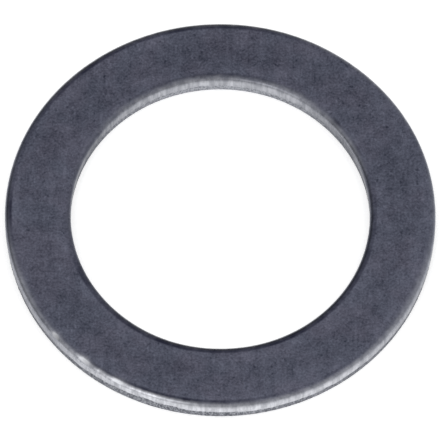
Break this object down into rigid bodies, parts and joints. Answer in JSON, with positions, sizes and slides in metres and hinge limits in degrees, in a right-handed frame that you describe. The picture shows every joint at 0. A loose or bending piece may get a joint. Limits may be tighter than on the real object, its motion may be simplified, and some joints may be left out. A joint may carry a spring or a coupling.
{
  "type": "flat washer",
  "caption": "Flat stamped steel ring washer with rolled upper edges and bright sheared rims, slipped over a shaft to spread a load or take up axial play.",
  "frame": {"origin": "centre of the hole on the lower face, which the washer rests on", "axes": "+Z along the washer's axis, towards the face with the rolled edges"},
  "size_m": [0.036, 0.036, 0.002],
  "materials": {
    "steel": "dark slate strip-steel faces with a fine mottled grain, and bright bare steel on the sheared rims"
  },
  "bodies": {
    "root": {"washer": "steel"}
  },
  "joints": []
}
